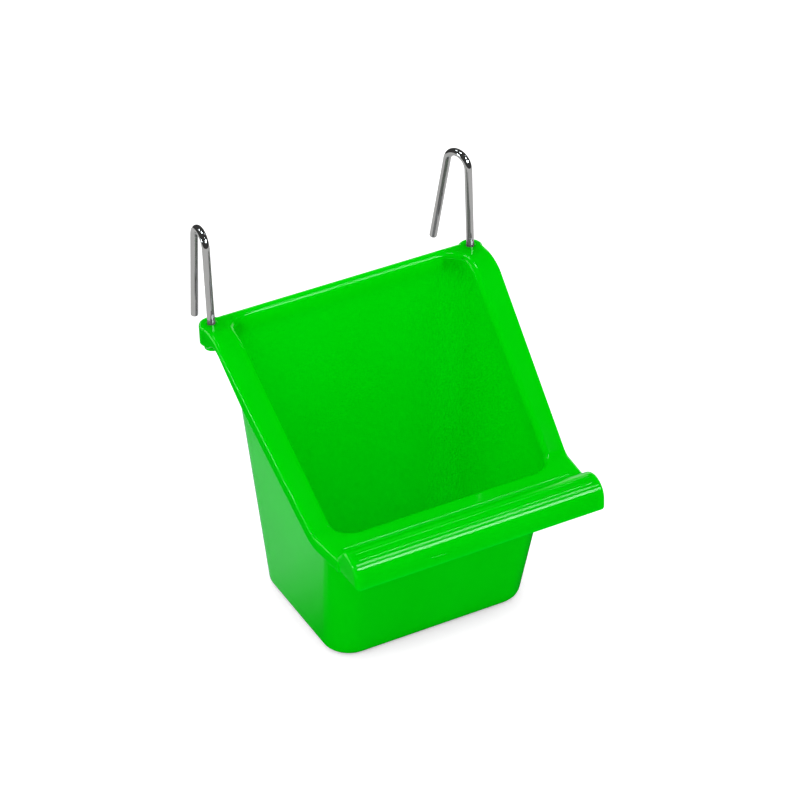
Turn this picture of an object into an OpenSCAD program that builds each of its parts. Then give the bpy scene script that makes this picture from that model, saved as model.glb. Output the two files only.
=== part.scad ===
// Seed cup for a bird cage: a one-piece moulded cup with a perch in front and two wire hooks behind.
// Millimetres. The origin is the centre of the flat base, +Z is up and the perch faces -Y.

/* [Cup] */
// Width of the flat base across the cage
base_w = 50.4; // [40:0.2:70]
// Depth of the flat base from front to back
base_d = 39.8; // [30:0.2:60]
// Height of the back edge above the table
back_h = 72.5; // [60:0.5:100]
// Height of the front ledge above the table
front_h = 41.8; // [34:0.2:50]
// Radius of the upright corners, outside
corner_r = 7; // [4:0.1:9]
// Radius of the outer edge round the base
base_edge_r = 2.4; // [1:0.1:3]
// Thickness of the walls
wall = 1.5; // [1:0.1:2.2]
// Thickness of the floor
floor_t = 1.8; // [1.2:0.1:3]
// Radius where the floor meets the walls, inside
floor_r = 2.2; // [1:0.1:3]

/* [Draft] */
// Lean of the two side walls, in degrees
side_draft = 4.5; // [2:0.1:7]
// Lean of the front wall, in degrees
front_draft = 14; // [8:0.5:18]
// Lean of the back wall, in degrees
back_draft = 1; // [0.5:0.1:3]

/* [Rim] */
// How far the ears stand out beyond the cup's side walls
ear_out = 4.7; // [4:0.1:8]
// Radius of the round ears about the bores
ear_r = 2.9; // [2.7:0.1:3.2]
// How far the rim stands out beyond the side walls where it meets the perch
rim_out = 2.76; // [2:0.02:5]
// Depth of the level shelf along the back, to the bend
shelf_d = 9; // [8:0.2:14]
// Depth of the sloping part of the rim, from bend to bend
slope_d = 38.9; // [34:0.5:44]
// Thickness of the rim
rim_t = 1.5; // [1.2:0.1:2]
// Radius of the bend behind the slope
shelf_bend_r = 10; // [6:0.5:12]
// Radius of the bend in front of the slope
ledge_bend_r = 4; // [3:0.5:7]
// Radius of the rim's outer top edge
rim_edge_r = 0.8; // [0.4:0.1:1]
// Radius of the lip round the mouth
lip_r = 1.4; // [0.8:0.1:1.8]
// How far the rim stands out behind the back wall
back_lip = 0.8; // [0.3:0.1:1.2]

/* [Skirt] */
// Thickness of the skirt under the rim
skirt_t = 1.2; // [1:0.1:1.4]
// Depth of the skirt at the ears
skirt_back_d = 4.9; // [3:0.1:5.5]
// Depth of the skirt at its waist, where the slope begins
skirt_waist_d = 1.6; // [1.5:0.1:2.5]
// Depth of the skirt along the slope and the ledge
skirt_front_d = 3.2; // [2.5:0.1:4]
// How far the skirt's lower edge flares outwards
skirt_flare = 0.15; // [0.05:0.05:0.4]
// Radius of the skirt's lower outer edge
skirt_edge_r = 0.35; // [0.1:0.05:0.5]
// Radius in the corner between the skirt and the rim, inside
under_r = 0.6; // [0.3:0.1:1]
// Stretch of full skirt at an ear, from the back
ear_d = 4.2; // [3:0.1:5]
// Distance from the back at which the skirt has its full depth again
skirt_full_d = 22; // [18:0.5:30]

/* [Perch] */
// How far each end of the perch is set in from the rim's side
perch_inset = 0.15; // [0.05:0.05:0.5]
// Radius of the edges at the perch's ends
perch_edge_r = 1; // [0.4:0.1:1.2]
// Level ledge between the slope and the perch
ledge_d = 9.3; // [8.5:0.1:12]
// Radius of the rounded perch
perch_r = 4.4; // [4:0.1:5]
// Height of the perch above the ledge
perch_rise = 3.65; // [3:0.05:4]
// Wall of the perch
perch_t = 1.5; // [1.2:0.1:2]
// Thickness of the plates that close the perch's ends
perch_end_t = 1.4; // [1:0.1:2]
// Radius of the round groove cut across the ledge
groove_r = 0.45; // [0.3:0.05:0.5]
// Distance of the groove's ends from the rim's sides
groove_end = 2.95; // [2:0.05:6]
// Radius of the two fine grip ridges
ridge_r = 0.5; // [0.4:0.05:0.7]
// Distance of the ridges' ends from the perch's ends
ridge_end = 2.1; // [1.5:0.1:6]
// Length of the small moulding mark on the perch's front
mark_w = 3.4; // [2:0.2:6]
// Distance of the mark from the middle, to the left
mark_x = 10.8; // [0:0.2:20]
// Radius of the rounded mark
mark_r = 0.3; // [0.2:0.05:0.5]

/* [Hooks] */
// Distance of the bores from the sides of the ears
hook_side_inset = 2.6; // [2.2:0.1:2.9]
// Distance of the bores from the back edge of the rim
hook_inset = 1.9; // [1.2:0.1:2.2]
// Diameter of the hook wire
wire_d = 1.8; // [1.2:0.05:2]
// Diameter of the round boss under an ear
boss_d = 3.9; // [3.4:0.1:4.4]
// Distance from the rim's top to the lower end of the boss
boss_h = 6.5; // [6:0.1:9]
// Depth of the bore in an ear
bore_depth = 5.6; // [3.5:0.1:6]
// Chamfer at the mouth of the bore
bore_chamfer = 0.35; // [0.2:0.05:0.6]
// Height of the left hook above the rim
left_rise = 23.2; // [16:0.1:30]
// Height of the right hook above the rim
right_rise = 24; // [16:0.1:30]
// Bend radius at the top of a hook, on the wire's centre line
hook_r = 3.3; // [2.8:0.1:6]
// Length of the straight leg behind the cage wire
tail_l = 23.5; // [14:0.5:26]
// Angle by which that leg of the left hook stands off the upright, in degrees
left_splay = 9; // [0:0.5:15]
// Angle by which that leg of the right hook stands off the upright, in degrees
right_splay = 13; // [0:0.5:15]
// How far the left hook is turned inwards at rest, in degrees
left_turn = 2; // [0:1:30]
// How far the right hook is turned inwards at rest, in degrees
right_turn = 19; // [0:1:30]
// Rounding at the cut ends of the wire
wire_end_r = 0.3; // [0.1:0.05:0.5]

/* [Fits] */
// Clearance all round between the wire and its bore
swivel_gap = 0.05; // [0.02:0.01:0.1]
// Gap between the end of the wire and the floor of its bore
seat_gap = 0.3; // [0.1:0.05:0.5]

/* [Hidden] */
plastic = "limegreen";
steel = "silver";

// Overrun of every cut past the face that it opens, and the lap of pieces that are joined
over = wall;
lap = rim_t / 2;
// Swelling of the wire where its bend ends
swell = wire_end_r / 30;
// Height by which the lip runs out above the rim's surface
lip_lift = lip_r / 50;
// Facets of round stretches
corner_steps = 12;
side_steps = 18;
edge_steps = 5;
bend_steps = 8;
lip_steps = 6;
foot_steps = 3;
perch_steps = 30;
block_fn = 40;
round_fn = 64;
// Passes that settle a point of the mouth on the rim's surface
settle_passes = 7;

// Widths of the rim, of the perch and of what runs along it
ear_w = base_w + 2 * (back_h * tan(side_draft) + ear_out);
rim_front_w = base_w + 2 * (front_h * tan(side_draft) + rim_out);
perch_w = rim_front_w - 2 * perch_inset;
groove_w = rim_front_w - 2 * groove_end;
ridge_w = perch_w - 2 * ridge_end;
hook_spacing = ear_w - 2 * hook_side_inset;

// Back and front of the cup
back_y = base_d / 2 + back_h * tan(back_draft);
rim_back_y = back_y + back_lip;
shelf_y = rim_back_y - shelf_d;
ledge_y = shelf_y - slope_d;
foot_y = ledge_y - ledge_d;
slope = atan2(back_h - front_h, slope_d);
shelf_reach = shelf_bend_r * tan(slope / 2);
ledge_reach = ledge_bend_r * tan(slope / 2);

// The perch is a round bar whose back slopes down to the ledge at 45 degrees
perch_slope = 45;
perch_z = front_h + perch_rise - perch_r;
perch_y = foot_y - perch_r / sin(perch_slope) + (front_h - perch_z) / tan(perch_slope);
perch_front_y = perch_y - perch_r;
perch_low_z = front_h - skirt_front_d;

// Ridges lie on the perch at these angles from the level, and a share of each stands proud
ridge_angles = [62, 87];
ridge_share = 0.3;
// Share of the groove's radius that is above the ledge
groove_share = 0.2;
// Height of the mark as a share of the way up the perch's front, and the share that stands proud
mark_height_share = 0.33;
mark_share = 0.4;

// Hooks stand in the ears, and the rim's back corners are round about the same bores
hook_y = rim_back_y - hook_inset;
ear_corner_r = hook_side_inset;
bore_floor_z = back_h - bore_depth;
bore_r = wire_d / 2 + swivel_gap;
// Share by which the skirt is still deeper than its waist at the bend
waist_share = 0.15;

function mix(a, b, t) = a + (b - a) * t;

// Height of the rim's upper surface at a place y, seen from the side
function rim_z(y) =
    y >= shelf_y + shelf_reach ? back_h
    : y > shelf_y - shelf_reach * cos(slope)
        ? back_h - shelf_bend_r + sqrt(pow(shelf_bend_r, 2) - pow(shelf_y + shelf_reach - y, 2))
    : y >= ledge_y + ledge_reach * cos(slope) ? front_h + (y - ledge_y) * tan(slope)
    : y > ledge_y - ledge_reach
        ? front_h + ledge_bend_r - sqrt(pow(ledge_bend_r, 2) - pow(y - ledge_y + ledge_reach, 2))
    : front_h;

// Half width of the rim at a place y: level ears, then a straight taper to the perch
function rim_half_w(y) =
    let (t = (shelf_y - shelf_reach * cos(slope) - y) / (slope_d + ledge_d - shelf_reach * cos(slope)))
    mix(ear_w, rim_front_w, max(0, min(1, t))) / 2;

// Depth of the skirt at a place y
function skirt_depth(y) = lookup(rim_back_y - y, [
    [ear_d, skirt_back_d],
    [shelf_d, mix(skirt_waist_d, skirt_back_d, waist_share)],
    [shelf_d + shelf_reach, skirt_waist_d],
    [skirt_full_d, skirt_front_d]]);

// How far a round edge of radius r draws in at a distance s from its end
function draw_in(r, s) = s >= r ? 0 : r - sqrt(pow(r, 2) - pow(r - s, 2));

// Station of the rim: y, z, slope angle, distance from the back edge
function station(y, a) = [y, rim_z(y), a, rim_back_y - y];

// Stations in the two bends, at a share t of the turn
function shelf_bend(t) = station(shelf_y + shelf_reach - shelf_bend_r * sin(slope * t), slope * t);
function ledge_bend(t) =
    station(ledge_y - ledge_reach + ledge_bend_r * sin(slope * (1 - t)), slope * (1 - t));

// Stations along the rim from back to front
function rim_stations() = concat(
    [for (i = [0:edge_steps]) station(rim_back_y - ear_corner_r * (1 - cos(90 * i / edge_steps)), 0)],
    [station(rim_back_y - ear_d, 0)],
    [for (i = [0:bend_steps]) shelf_bend(i / bend_steps)],
    [station(rim_back_y - skirt_full_d, slope)],
    [for (i = [0:bend_steps]) ledge_bend(i / bend_steps)],
    [station(foot_y - 2 * lap, 0)]);

// Stations of the space under the rim, halfway between the others in the bends
function under_stations() = concat(
    [station(rim_back_y - skirt_t, 0)],
    [for (i = [1:bend_steps]) shelf_bend((i - 0.5) / bend_steps)],
    [for (i = [1:bend_steps]) ledge_bend((i - 0.5) / bend_steps)],
    [station(foot_y - 2 * lap - over, 0)]);

// Right half of the rim's section, with round edges: across, and up from the surface
function half_section(half_w, drop, depth) = concat(
    [for (i = [edge_steps:-1:0]) let (a = 90 * i / edge_steps)
        [half_w - rim_edge_r * (1 - cos(a)), -drop - rim_edge_r * (1 - sin(a))]],
    [for (i = [0:foot_steps])
        let (a = 90 * i / foot_steps, flare = skirt_flare * depth / skirt_front_d)
        [half_w + flare - skirt_edge_r * (1 - cos(a)), -depth + skirt_edge_r * (1 - sin(a))]]);

// Right half of the section of the space under the rim
function half_under(half_w) =
    let (depth = skirt_back_d + over, flare = skirt_flare * depth / skirt_front_d)
    concat(
        [for (i = [0:foot_steps]) let (a = 90 * i / foot_steps)
            [half_w - skirt_t - under_r * (1 - sin(a)), -rim_t - under_r * (1 - cos(a))]],
        [[half_w + flare - skirt_t, -depth]]);

// Whole section from its right half, drawn from the left to the right
function both_sides(half) =
    let (last = len(half) - 1)
    concat([for (i = [last:-1:0]) [-half[i][0], half[i][1]]], half);

// Section set upright on a station of the rim, drawn from the right to the left
function on_rim(s, section) =
    [for (p = section) [-p[0], s[0] - p[1] * sin(s[2]), s[1] + p[1] * cos(s[2])]];

// Solid through a list of rings with as many points each; its end faces are drawn from a corner
module skin(rings, corner = 0) {
    n = len(rings[0]);
    m = len(rings);
    polyhedron(
        points = [for (ring = rings) for (p = ring) p],
        faces = concat(
            [[for (j = [0:n - 1]) (corner + j) % n]],
            [for (i = [0:m - 2]) for (j = [0:n - 1]) [i * n + j, i * n + n + j, i * n + (j + 1) % n]],
            [for (i = [0:m - 2]) for (j = [0:n - 1])
                [i * n + (j + 1) % n, i * n + n + j, i * n + n + (j + 1) % n]],
            [[for (j = [n - 1:-1:0]) (m - 1) * n + (corner + j) % n]]));
}

// Rim with its skirt: a channel that is open below, swept along its side view
module rim() {
    difference() {
        skin([for (s = rim_stations())
            on_rim(s, both_sides(half_section(rim_half_w(s[0]) - draw_in(ear_corner_r, s[3]),
                draw_in(rim_edge_r, s[3]), skirt_depth(s[0]))))]);
        skin([for (s = under_stations()) on_rim(s, both_sides(half_under(rim_half_w(s[0]))))]);
    }
}

// Solid of a side view [y, z], as wide as w
module side_view(w) {
    translate([-w / 2, 0, 0]) rotate([90, 0, 90]) linear_extrude(w) children();
}

// Everything below the middle of the rim, seen from the side
module below_rim() {
    low = -over;
    side_view(ear_w)
        polygon(concat(
            [for (s = rim_stations()) [s[0] + lap * sin(s[2]), s[1] - lap * cos(s[2])]],
            [[foot_y - over, low], [rim_back_y, low]]));
}

// Tapered block of the cup, outside
module outer_block() {
    top = back_h;
    hull()
        for (sx = [-1, 1], sy = [-1, 1]) {
            draft = sy > 0 ? back_draft : front_draft;
            translate([sx * (base_w / 2 - corner_r), sy * (base_d / 2 - corner_r), 0])
                for (z = [base_edge_r, top])
                    translate([sx * z * tan(side_draft), sy * z * tan(draft), z])
                        if (z == top)
                            translate([0, 0, -lap]) cylinder(r = corner_r, h = lap, $fn = block_fn);
                        else
                            for (i = [0:edge_steps]) {
                                a = 90 * i / edge_steps;
                                translate([0, 0, -base_edge_r * sin(a)])
                                    cylinder(r = corner_r - base_edge_r * (1 - cos(a)), h = lap / block_fn,
                                        $fn = block_fn);
                            }
        }
}

// Points round the mouth: side of the cup, angle on the corner, place from back to front
function mouth_keys() = concat(
    [for (i = [0:corner_steps]) [1, 90 * i / corner_steps, 0]],
    [for (i = [0:corner_steps]) [-1, 90 + 90 * i / corner_steps, 0]],
    [for (i = [1:side_steps - 1]) [-1, 180, i / side_steps]],
    [for (i = [0:corner_steps]) [-1, 180 + 90 * i / corner_steps, 1]],
    [for (i = [0:corner_steps]) [1, 270 + 90 * i / corner_steps, 1]],
    [for (i = [1:side_steps - 1]) [1, 0, 1 - i / side_steps]]);

// Point of the inner wall at height z, moved outwards by out
function inside(key, z, out) =
    let (r = corner_r - wall + out,
        half_w = base_w / 2 - wall + z * tan(side_draft) + out,
        back = base_d / 2 - wall + z * tan(back_draft) + out,
        front = -base_d / 2 + wall - z * tan(front_draft) - out)
    [key[0] * (half_w - r) + r * cos(key[1]), mix(back - r, front + r, key[2]) + r * sin(key[1]), z];

// The same point at a depth below the rim's surface
function below(key, depth, out, z, passes) =
    passes == 0 ? inside(key, z, out)
    : below(key, depth, out, rim_z(inside(key, z, out)[1]) - depth, passes - 1);

// Hollow of the cup, with its round floor edge and its round lip that follows the rim
module hollow() {
    keys = mouth_keys();
    mouth = [for (k = keys) below(k, -lip_lift, lip_r, front_h, settle_passes)];
    skin(concat(
        [for (i = [0:edge_steps]) let (a = 90 * i / edge_steps)
            [for (k = keys) inside(k, floor_t + floor_r * (1 - cos(a)), -floor_r * (1 - sin(a)))]],
        [for (i = [0:lip_steps - 1]) let (a = 90 * i / lip_steps)
            [for (k = keys) below(k, lip_r * (1 - sin(a)), lip_r * (1 - cos(a)), front_h, settle_passes)]],
        [mouth],
        [[for (p = mouth) [p[0], p[1], back_h + over]]]), corner_steps / 2);
}

// Perch bar seen from the side, drawn in by t: a skirt, a round front and a back that slopes down
function perch_view(t, low, base_z) =
    let (r = perch_r - t)
    concat(
        [[perch_y - r, low]],
        [for (i = [0:perch_steps]) let (a = mix(180, perch_slope, i / perch_steps))
            [perch_y + r * cos(a), perch_z + r * sin(a)]],
        [[perch_y + r / sin(perch_slope) - (base_z - perch_z) / tan(perch_slope), base_z]]);

// Ring of the perch's outside at a place x, drawn in by t
function perch_ring(x, t) =
    let (view = perch_view(t, perch_low_z + t, front_h - lap), back = view[len(view) - 1][0])
    [for (p = concat(view, [[back, perch_low_z + t]])) [x, p[0], p[1]]];

// Rings of the rounded right end, from the end plate inwards
function perch_end() =
    [for (i = [0:edge_steps]) let (a = 90 * i / edge_steps)
        perch_ring(perch_w / 2 - perch_edge_r * (1 - cos(a)), perch_edge_r * (1 - sin(a)))];

// The same rings for the left end, from the middle outwards
function mirrored(rings) =
    [for (i = [len(rings) - 1:-1:0]) [for (p = rings[i]) [-p[0], p[1], p[2]]]];

module perch() {
    difference() {
        skin(concat(perch_end(), mirrored(perch_end())));
        side_view(perch_w - 2 * perch_end_t)
            polygon(concat(
                perch_view(perch_t, perch_low_z - over, front_h - perch_t),
                [[foot_y + over, front_h - perch_t], [foot_y + over, perch_low_z - over]]));
    }
    for (a = ridge_angles)
        translate([0, perch_y, perch_z])
            rotate([-a, 0, 0])
                translate([-ridge_w / 2, -perch_r + ridge_r * (1 - ridge_share), 0])
                    rotate([0, 90, 0]) cylinder(r = ridge_r, h = ridge_w, $fn = round_fn);
    translate([-mark_x, perch_front_y + mark_r * (1 - mark_share),
        mix(perch_low_z, perch_z + perch_r, mark_height_share)])
        for (sx = [-1, 1]) {
            translate([sx * mark_w / 2, 0, 0]) sphere(mark_r, $fn = round_fn);
            if (sx < 0)
                translate([sx * mark_w / 2, 0, 0])
                    rotate([0, 90, 0]) cylinder(r = mark_r, h = mark_w, $fn = round_fn);
        }
}

module groove() {
    translate([0, foot_y + 2 * groove_r + lap, front_h + groove_r * groove_share]) {
        translate([-groove_w / 2, 0, 0])
            rotate([0, 90, 0]) cylinder(r = groove_r, h = groove_w, $fn = round_fn);
        for (sx = [-1, 1])
            translate([sx * groove_w / 2, 0, 0]) sphere(groove_r, $fn = round_fn);
    }
}

// Place of a hook: the side is -1 on the left and 1 on the right
module at_hook(side) {
    translate([side * hook_spacing / 2, hook_y, 0]) children();
}

// Ear: a round post with a rounded top edge, and the boss below it
module ear() {
    rotate_extrude($fn = round_fn)
        polygon(concat(
            [[0, 0], [0, -boss_h], [boss_d / 2, -boss_h]],
            [[boss_d / 2, -skirt_back_d], [ear_r, -skirt_back_d]],
            [for (i = [0:edge_steps]) let (a = 90 * i / edge_steps)
                [ear_r - rim_edge_r * (1 - cos(a)), -rim_edge_r * (1 - sin(a))]]));
}

module cup() {
    color(plastic) difference() {
        union() {
            intersection() {
                outer_block();
                below_rim();
            }
            rim();
            perch();
            for (side = [-1, 1])
                at_hook(side) translate([0, 0, back_h]) ear();
        }
        hollow();
        groove();
        for (side = [-1, 1])
            at_hook(side) {
                translate([0, 0, bore_floor_z])
                    cylinder(r = bore_r, h = bore_depth + over, $fn = round_fn);
                translate([0, 0, back_h - bore_chamfer])
                    cylinder(r1 = bore_r, r2 = bore_r + 2 * bore_chamfer, h = 2 * bore_chamfer,
                        $fn = round_fn);
            }
    }
}

// Straight wire of length l, rounded at its lower end
module wire(l) {
    r = wire_d / 2;
    rotate_extrude($fn = round_fn)
        polygon(concat(
            [[0, l], [0, 0]],
            [for (i = [0:edge_steps]) let (a = 90 * i / edge_steps)
                [r - wire_end_r * (1 - sin(a)), wire_end_r * (1 - cos(a))]],
            [[r, l]]));
}

// Hook bent from one wire: upright leg, bend over the cage wire and tail behind it
module hook(rise, splay, lift) {
    bend_z = back_h + rise - wire_d / 2 - hook_r;
    foot_z = bore_floor_z + seat_gap + lift;
    color(steel) {
        translate([0, 0, foot_z]) wire(bend_z - foot_z);
        translate([0, hook_r, bend_z]) {
            rotate([90, 0, -90])
                rotate_extrude(angle = 180 - splay, $fn = round_fn)
                    translate([hook_r, 0]) circle(d = wire_d, $fn = round_fn);
            rotate([splay, 0, 0])
                translate([0, hook_r, 0]) {
                    sphere(wire_d / 2 + swell, $fn = round_fn);
                    translate([0, 0, -tail_l]) wire(tail_l);
                }
        }
    }
}

module left_hook() {
    at_hook(-1) rotate([0, 0, -left_turn])
        hook(left_rise, left_splay, max(0, left_rise - right_rise));
}

module right_hook() {
    at_hook(1) rotate([0, 0, right_turn])
        hook(right_rise, right_splay, max(0, right_rise - left_rise));
}

cup();
left_hook();
right_hook();
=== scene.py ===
import math

import bmesh
import bpy
from mathutils import Matrix, Vector


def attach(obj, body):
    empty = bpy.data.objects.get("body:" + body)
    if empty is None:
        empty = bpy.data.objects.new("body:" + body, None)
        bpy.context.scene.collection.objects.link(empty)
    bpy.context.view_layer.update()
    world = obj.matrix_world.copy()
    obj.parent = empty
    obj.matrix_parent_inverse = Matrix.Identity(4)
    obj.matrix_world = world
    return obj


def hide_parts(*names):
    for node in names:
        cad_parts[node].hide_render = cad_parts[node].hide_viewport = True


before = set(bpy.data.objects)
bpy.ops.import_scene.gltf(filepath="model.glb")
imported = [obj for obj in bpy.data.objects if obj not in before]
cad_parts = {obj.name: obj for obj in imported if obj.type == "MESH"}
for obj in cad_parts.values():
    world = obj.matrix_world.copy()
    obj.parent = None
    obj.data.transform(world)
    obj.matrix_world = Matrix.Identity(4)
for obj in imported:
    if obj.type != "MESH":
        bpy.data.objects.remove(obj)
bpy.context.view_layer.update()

# --- camera: solved from the photo's own edges ---
IMAGE = 800
FOCAL_PX = 3555.0
SENSOR_MM = 36.0
CAMERA_AT = (-0.29430, -0.60113, 0.49870)
AZIMUTH, ELEVATION, ROLL = math.radians(-26.35), math.radians(33.73), math.radians(2.22)
CLIP = (0.05, 20)

# --- edges of the moulding ---
MERGE = 2e-6                    # joins the corners of neighbouring CAD triangles
FLAT = math.radians(0.3)        # joins the triangles of one plane
SHARP = math.radians(32)        # an edge between two surfaces turns by more
SOFT_EDGE = 0.00012
EDGE_STEPS = 2

# --- colours, linear ---
GREEN_DEEP = (0.0, 0.72, 0.0007, 1)
GREEN_LIGHT = (0.0, 0.77, 0.0012, 1)
CUP_ON_PAPER = (0.74, 0.745, 0.74, 1)
CUP_IN_WIRE = (0.19, 0.19, 0.19, 1)
NICKEL = (0.70, 0.70, 0.69, 1)
NICKEL_IN_GLOSS = (0.16, 0.16, 0.16, 1)
# the paper's colours in the plastic's gloss only, a painted reflection
PAINTED_REFLECTION_DIM = (0.01, 0.02, 0.03, 1)
PAINTED_REFLECTION_COOL = (0.45, 0.55, 0.61, 1)
WHITE = (1, 1, 1, 1)
LAMP_WHITE = (1, 1, 1)
LAMP_COOL = (0.84, 0.95, 1.0)

# --- studio ---
FLOOR_HALF = 3.0
BACKGROUND = 1.0                # white, for the camera
ROOM = 0.77                     # even light from all round
ROOM_IN_WIRE = 0.05
LAMPS_LOOK_AT = Vector((0, 0, 0.04))
GLOSS_LAMP_AWAY, FORM_LAMP_AWAY = 1.3, 1.4


def put(name, data):
    obj = bpy.data.objects.new(name, data)
    bpy.context.scene.collection.objects.link(obj)
    return obj


def add_camera():
    data = bpy.data.cameras.new("camera")
    cam = put("camera", data)
    back = Vector((math.sin(AZIMUTH) * math.cos(ELEVATION),
                   -math.cos(AZIMUTH) * math.cos(ELEVATION), math.sin(ELEVATION)))
    level = (-back).cross(Vector((0, 0, 1))).normalized()
    down = (-back).cross(level)
    right = level * math.cos(ROLL) + down * math.sin(ROLL)
    up = back.cross(right)
    turn = Matrix((right, up, back)).transposed().to_4x4()
    cam.matrix_world = Matrix.Translation(CAMERA_AT) @ turn
    data.sensor_width = SENSOR_MM
    data.lens = FOCAL_PX * SENSOR_MM / IMAGE
    data.clip_start, data.clip_end = CLIP
    bpy.context.scene.camera = cam


class Nodes:
    """A short way to write a node tree: an input is given a value or another node's socket."""

    def __init__(self, tree):
        self.tree = tree
        tree.nodes.clear()

    def add(self, kind, inputs=None, **settings):
        node = self.tree.nodes.new(kind)
        for k, v in settings.items():
            setattr(node, k, v)
        for k, v in (inputs or {}).items():
            if isinstance(v, bpy.types.NodeSocket):
                self.tree.links.new(v, node.inputs[k])
            else:
                node.inputs[k].default_value = v
        return node

    def calc(self, operation, a, b, **settings):
        return self.add("ShaderNodeMath", {0: a, 1: b}, operation=operation, **settings).outputs[0]

    def ramp(self, value, start=0.0, end=1.0, low=0.0, high=1.0, **settings):
        """low up to start, high from end on, and between them a line or a chosen curve."""
        return self.add("ShaderNodeMapRange", {
            "Value": value, "From Min": start, "From Max": end,
            "To Min": low, "To Max": high}, **settings).outputs["Result"]

    def blend(self, factor, a, b):
        """Colour a at factor 0 and b at factor 1."""
        return self.add("ShaderNodeMix", {"Factor": factor, "A": a, "B": b},
                        data_type="RGBA").outputs["Result"]

    def choose(self, factor, a, b):
        """Shader a at factor 0 and b at factor 1."""
        return self.add("ShaderNodeMixShader", {"Fac": factor, 1: a, 2: b}).outputs[0]

    def noise(self, place, scale, detail, **inputs):
        return self.add("ShaderNodeTexNoise", {
            "Vector": place, "Scale": scale, "Detail": detail, **inputs}).outputs["Fac"]


def new_material(name):
    mat = bpy.data.materials.new(name)
    mat.use_nodes = True
    return mat, Nodes(mat.node_tree)


# --- materials ---
def plastic():
    mat, n = new_material("green_plastic_look")
    place = n.add("ShaderNodeTexCoord").outputs["Object"]
    # the pigment is a little uneven where the melt flowed
    flow = n.noise(place, scale=38.0, detail=2.0, Roughness=0.45)
    green = n.add("ShaderNodeValToRGB", {"Fac": flow})
    deep, light = green.color_ramp.elements
    deep.position, deep.color = 0.3, GREEN_DEEP
    light.position, light.color = 0.72, GREEN_LIGHT
    # light that goes on from the cup to the paper stays neutral, as the photo's shadow is
    seen = n.add("ShaderNodeLightPath").outputs
    bounce = n.blend(seen["Is Diffuse Ray"], green.outputs["Color"], CUP_ON_PAPER)
    # in the plated wire's mirror the cup is painted a dull grey: a painted reflection
    in_wire = n.calc("MINIMUM", seen["Is Glossy Ray"], seen["Is Singular Ray"])
    # polished steel leaves a fine, slightly wavy skin
    wave = n.noise(place, scale=160.0, detail=3.0, Roughness=0.5)
    fine = n.noise(place, scale=1900.0, detail=2.0, Roughness=0.6)
    skin = n.add("ShaderNodeBump", {"Strength": 0.010, "Distance": 0.0006, "Height": wave})
    grain = n.add("ShaderNodeBump", {"Strength": 0.012, "Distance": 0.00005, "Height": fine,
                                     "Normal": skin.outputs["Normal"]})
    shader = n.add("ShaderNodeBsdfPrincipled", {
        "Base Color": n.blend(in_wire, bounce, CUP_IN_WIRE),
        "Roughness": n.ramp(wave, start=0.3, end=0.7, low=0.05, high=0.08),
        "IOR": 1.33, "Normal": grain.outputs["Normal"], "Subsurface Weight": 0.9,
        "Subsurface Radius": (1.0, 1.0, 1.0), "Subsurface Scale": 0.008})
    n.add("ShaderNodeOutputMaterial", {"Surface": shader.outputs["BSDF"]})
    return mat


def plated_wire():
    mat, n = new_material("hook_wire_look")
    place = n.add("ShaderNodeTexCoord").outputs["Object"]
    # draw marks run along the wire
    along = n.add("ShaderNodeMapping", {"Vector": place, "Scale": (9000.0, 9000.0, 220.0)})
    marks = n.noise(along.outputs["Vector"], scale=1.0, detail=3.0)
    bump = n.add("ShaderNodeBump", {"Strength": 0.04, "Distance": 0.00002, "Height": marks})
    # the plastic's gloss shows the wire duller than it is
    seen = n.add("ShaderNodeLightPath").outputs
    in_gloss = n.calc("SUBTRACT", seen["Is Glossy Ray"], seen["Is Singular Ray"], use_clamp=True)
    # with no roughness the rays of this mirror are singular, which the other materials look for
    shader = n.add("ShaderNodeBsdfPrincipled", {
        "Base Color": n.blend(in_gloss, NICKEL, NICKEL_IN_GLOSS), "Metallic": 1.0,
        "Roughness": 0.0, "Normal": bump.outputs["Normal"]})
    n.add("ShaderNodeOutputMaterial", {"Surface": shader.outputs["BSDF"]})
    return mat


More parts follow.
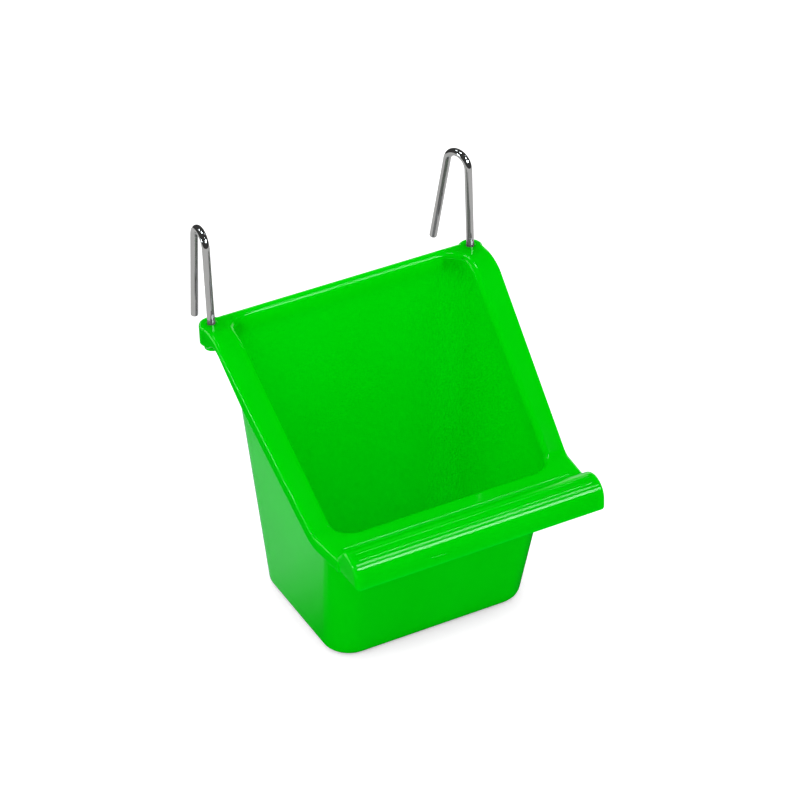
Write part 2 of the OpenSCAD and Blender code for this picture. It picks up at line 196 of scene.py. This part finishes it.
def floor_paper():
    mat, n = new_material("floor_paper")
    place = n.add("ShaderNodeTexCoord").outputs["Object"]
    tone = n.ramp(n.noise(place, scale=60.0, detail=2.0), low=0.80, high=0.82)
    plain = n.add("ShaderNodeBsdfDiffuse", {"Color": tone}).outputs[0]
    # the plastic mirrors paper that is painted for its gloss only: a cool patch close behind it
    # and dim round that, a painted reflection on the cup's left wall
    axes = n.add("ShaderNodeSeparateXYZ", {"Vector": place}).outputs
    curve = {"interpolation_type": "SMOOTHSTEP"}
    behind = n.ramp(axes["Y"], start=-0.012, end=0.026, **curve)
    beside = n.ramp(axes["X"], start=-0.062, end=-0.042, **curve)
    close = n.calc("MULTIPLY", behind, beside)
    # farther to the left the paper is painted cool again in the gloss, a painted highlight on the
    # outer edge of the rim
    far = n.ramp(axes["X"], start=-0.12, end=-0.17, high=0.9, **curve)
    in_plastic = n.blend(n.calc("MAXIMUM", close, far), PAINTED_REFLECTION_DIM, PAINTED_REFLECTION_COOL)
    # the plated wire mirrors the paper painted for it alone as an even grey sheet that ends on the
    # table: a painted reflection
    reach = n.add("ShaderNodeVectorMath", {0: place}, operation="LENGTH").outputs["Value"]
    in_wire = n.ramp(reach, start=0.36, end=0.40, low=0.62, high=0.05)
    seen = n.add("ShaderNodeLightPath").outputs
    mirrored = n.add("ShaderNodeBsdfDiffuse", {
        "Color": n.blend(seen["Is Singular Ray"], in_plastic, in_wire)}).outputs[0]
    # only the camera sees this added glow, which paints the paper white; less of it where the cup
    # meets the floor paints a contact shadow
    open_sky = n.add("ShaderNodeAmbientOcclusion", {"Distance": 0.010}, samples=8).outputs["AO"]
    lift = n.add("ShaderNodeEmission", {
        "Color": WHITE, "Strength": n.ramp(open_sky, low=0.22, high=0.66)}).outputs[0]
    lifted = n.add("ShaderNodeAddShader", {0: plain, 1: lift}).outputs[0]
    unseen = n.choose(seen["Is Glossy Ray"], plain, mirrored)
    n.add("ShaderNodeOutputMaterial", {"Surface": n.choose(seen["Is Camera Ray"], unseen, lifted)})
    return mat


# --- pieces ---
def dress(node, mat):
    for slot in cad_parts[node].material_slots:
        slot.material = mat


def add_moulding(mat):
    """The cup with smooth faces and the soft edges that a polished mould gives."""
    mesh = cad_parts["cup"].data.copy()
    mesh.name = "cup_moulding"
    obj = put("cup_moulding", mesh)
    b = bmesh.new()
    b.from_mesh(mesh)
    bmesh.ops.remove_doubles(b, verts=b.verts, dist=MERGE)
    bmesh.ops.dissolve_limit(b, angle_limit=FLAT, verts=b.verts, edges=b.edges)
    for face in b.faces:
        face.smooth = True
    for edge in b.edges:
        edge.smooth = len(edge.link_faces) == 2 and edge.calc_face_angle() < SHARP
    b.to_mesh(mesh)
    b.free()
    mesh.materials.clear()
    mesh.materials.append(mat)
    bevel = obj.modifiers.new("soft_edges", "BEVEL")
    bevel.width = SOFT_EDGE
    bevel.segments = EDGE_STEPS
    bevel.limit_method = "ANGLE"
    bevel.angle_limit = SHARP
    bevel.use_clamp_overlap = True
    bevel.harden_normals = True
    even = obj.modifiers.new("even_normals", "WEIGHTED_NORMAL")
    even.mode = "FACE_AREA"
    even.keep_sharp = True
    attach(obj, "cup")
    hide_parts("cup")


# --- studio ---
def add_floor():
    h = FLOOR_HALF
    mesh = bpy.data.meshes.new("floor")
    mesh.from_pydata([(-h, -h, 0), (h, -h, 0), (h, h, 0), (-h, h, 0)], [], [(0, 1, 2, 3)])
    mesh.materials.append(floor_paper())
    obj = put("floor", mesh)


def add_world():
    world = bpy.data.worlds.new("studio")
    bpy.context.scene.world = world
    world.use_nodes = True
    n = Nodes(world.node_tree)

    def light(strength):
        return n.add("ShaderNodeBackground", {"Color": WHITE, "Strength": strength}).outputs[0]

    # the plastic mirrors a bright sweep low down behind it, brighter to the left
    place = n.add("ShaderNodeTexCoord").outputs["Generated"]
    axes = n.add("ShaderNodeSeparateXYZ", {"Vector": place}).outputs
    height = n.ramp(axes["Z"], start=0.42, end=0.34, low=0.01, high=1.3)
    behind = n.ramp(axes["Y"], start=0.3, end=0.5)
    leftwards = n.ramp(axes["X"], start=-0.30, end=-0.55, low=1.0, high=2.0)
    sweep = n.calc("MULTIPLY", n.calc("MULTIPLY", height, behind), leftwards)
    # the plated wire mirrors a dim room
    seen = n.add("ShaderNodeLightPath").outputs
    mirrored = n.add("ShaderNodeMix", {
        "Factor": seen["Is Singular Ray"], "A": sweep, "B": ROOM_IN_WIRE}).outputs["Result"]
    around = n.choose(seen["Is Glossy Ray"], light(ROOM), light(mirrored))
    clear = n.calc("MAXIMUM", seen["Is Camera Ray"], seen["Is Transmission Ray"])
    n.add("ShaderNodeOutputWorld", {"Surface": n.choose(clear, around, light(BACKGROUND))})


def towards(azimuth, elevation):
    """Direction to a lamp; azimuth 0 is in front of the perch and 90 on its right."""
    a, e = math.radians(azimuth), math.radians(elevation)
    return math.sin(a) * math.cos(e), -math.cos(a) * math.cos(e), math.sin(e)


def add_lamp(name, direction, size, power, shines):
    """A lamp that either shows in the gloss of the plastic or lights its form."""
    data = bpy.data.lights.new(name, "AREA")
    data.shape = "RECTANGLE"
    data.size, data.size_y = size
    data.energy = power
    data.color = LAMP_COOL if shines else LAMP_WHITE
    lamp = put(name, data)
    away = Vector(direction).normalized()
    distance = GLOSS_LAMP_AWAY if shines else FORM_LAMP_AWAY
    lamp.matrix_world = (Matrix.Translation(away * distance + LAMPS_LOOK_AT)
                         @ away.to_track_quat("Z", "Y").to_matrix().to_4x4())
    lamp.visible_glossy = shines
    lamp.visible_diffuse = not shines


add_camera()
green = plastic()
nickel = plated_wire()
dress("cup", green)
add_moulding(green)
dress("left_hook", nickel)
dress("right_hook", nickel)
add_floor()
add_world()
# each is where an edge that is bright in the photo mirrors it
add_lamp("key_high", towards(29.0, 52.0), size=(0.42, 0.19), power=2.0, shines=True)
add_lamp("key_low", towards(24.0, 32.3), size=(0.90, 0.26), power=10.0, shines=True)
add_lamp("over", (-0.05, 0.05, 1.0), size=(0.3, 0.3), power=2.3, shines=True)
add_lamp("left_edge", towards(-97.0, 6.0), size=(0.22, 0.16), power=1.8, shines=True)
add_lamp("behind", towards(-150.0, 57.0), size=(0.40, 0.22), power=1.2, shines=True)
add_lamp("right_edge", towards(95.0, 38.0), size=(0.16, 0.16), power=0.16, shines=True)
# these light the form
add_lamp("fill", towards(-26.0, 34.0), size=(1.0, 1.0), power=1.6, shines=False)
add_lamp("side", towards(-62.0, 48.0), size=(1.0, 1.0), power=1.8, shines=False)

bpy.context.scene.view_settings.view_transform = "Standard"
